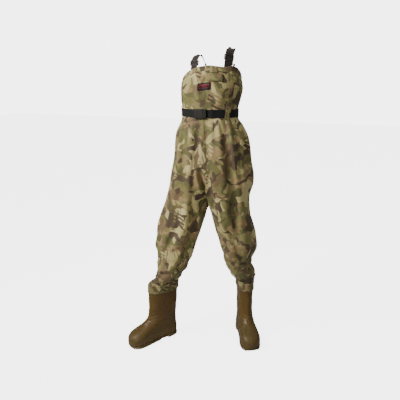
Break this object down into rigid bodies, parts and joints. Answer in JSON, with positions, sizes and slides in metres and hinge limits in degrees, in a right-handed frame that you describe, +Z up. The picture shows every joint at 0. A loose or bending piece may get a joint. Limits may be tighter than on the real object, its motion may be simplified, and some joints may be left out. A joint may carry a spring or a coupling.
{
  "type": "chest waders",
  "caption": "Hollow camouflage-fabric chest waders with a waist belt, side-release buckle, shoulder straps and moulded rubber boots.",
  "frame": {"origin": "on the ground, at the middle of the whole object's box", "axes": "+Z up, -Y the way the wearer faces, +X the wearer's left"},
  "size_m": [0.6792, 0.4692, 1.5329],
  "materials": {
    "camouflage_fabric": "matte woven nylon, camouflage print",
    "camouflage_band": "matte woven nylon binding, camouflage print",
    "black_webbing": "woven polypropylene webbing",
    "elastic_webbing": "ribbed elastic webbing",
    "buckle_plastic": "satin moulded acetal",
    "patch_rubber": "matte",
    "brown_rubber": "satin moulded",
    "sole_rubber": "matte moulded",
    "insole_foam": "felted foam"
  },
  "bodies": {
    "torso": {"bib_shell": "camouflage_fabric", "top_hem": "camouflage_band", "pocket_tab": "camouflage_band", "inner_pocket": "camouflage_fabric", "name_patch": "patch_rubber", "side_band_right": "camouflage_band", "side_band_left": "camouflage_band", "belt_webbing": "black_webbing", "belt_buckle_socket": "buckle_plastic", "belt_loop_front_left": "camouflage_band", "belt_loop_front_right": "camouflage_band", "belt_loop_back_left": "camouflage_band", "belt_loop_back_right": "camouflage_band", "shoulder_strap_right": "elastic_webbing", "shoulder_strap_left": "elastic_webbing", "strap_anchor_right": "black_webbing", "strap_anchor_left": "black_webbing", "back_yoke": "black_webbing", "back_elastic": "elastic_webbing"},
    "belt_plug": {"belt_buckle_plug": "buckle_plastic"},
    "prong_upper": {"belt_buckle_prong_upper": "buckle_plastic"},
    "prong_lower": {"belt_buckle_prong_lower": "buckle_plastic"},
    "adjuster_right": {"strap_adjuster_right": "buckle_plastic"},
    "adjuster_left": {"strap_adjuster_left": "buckle_plastic"},
    "pocket_flap": {"pocket_flap": "camouflage_band"},
    "thigh_right": {"leg_upper_right": "camouflage_fabric"},
    "thigh_left": {"leg_upper_left": "camouflage_fabric"},
    "shin_right": {"leg_lower_right": "camouflage_fabric", "boot_cuff_right": "camouflage_band", "boot_right": "brown_rubber", "outsole_right": "sole_rubber", "insole_right": "insole_foam"},
    "shin_left": {"leg_lower_left": "camouflage_fabric", "boot_cuff_left": "camouflage_band", "boot_left": "brown_rubber", "outsole_left": "sole_rubber", "insole_left": "insole_foam"}
  },
  "joints": [
    {"name": "hip_right", "type": "hinge", "parent": "torso", "child": "thigh_right", "pos_m": [-0.1148, 0.03132, 0.655], "axis": [-1, 0, 0], "range_deg": [-15, 30]},
    {"name": "hip_left", "type": "hinge", "parent": "torso", "child": "thigh_left", "pos_m": [0.1602, 0.09432, 0.655], "axis": [-1, 0, 0], "range_deg": [-15, 30]},
    {"name": "knee_right", "type": "hinge", "parent": "thigh_right", "child": "shin_right", "pos_m": [-0.1383, -0.00668, 0.47], "axis": [1, 0, 0], "range_deg": [0, 45]},
    {"name": "knee_left", "type": "hinge", "parent": "thigh_left", "child": "shin_left", "pos_m": [0.1797, 0.11932, 0.47], "axis": [1, 0, 0], "range_deg": [0, 45]},
    {"name": "belt_release", "type": "slide", "parent": "torso", "child": "belt_plug", "axis": [1, 0, 0], "range_m": [0, 0.022]},
    {"name": "prong_squeeze_upper", "type": "hinge", "parent": "belt_plug", "child": "prong_upper", "pos_m": [0.0338, -0.03786, 1.243], "axis": [0, -1, 0], "range_deg": [0, 7], "stiffness_Nm_per_rad": 0.05},
    {"name": "prong_squeeze_lower", "type": "hinge", "parent": "belt_plug", "child": "prong_lower", "pos_m": [0.0338, -0.03786, 1.215], "axis": [0, 1, 0], "range_deg": [0, 7], "stiffness_Nm_per_rad": 0.05},
    {"name": "strap_adjust_right", "type": "slide", "parent": "torso", "child": "adjuster_right", "axis": [0.0857, 0.1336, 0.9873], "range_m": [-0.02, 0.005]},
    {"name": "strap_adjust_left", "type": "slide", "parent": "torso", "child": "adjuster_left", "axis": [0.0552, 0.2054, 0.9771], "range_m": [-0.02, 0.005]},
    {"name": "pocket_flap_lift", "type": "hinge", "parent": "torso", "child": "pocket_flap", "pos_m": [0.08575, -0.02711, 1.412], "axis": [-0.985, -0.1724, 0], "range_deg": [0, 110]}
  ],
  "couplings": [
    {"joint": "prong_squeeze_lower", "follows": "prong_squeeze_upper", "ratio": 1}
  ]
}
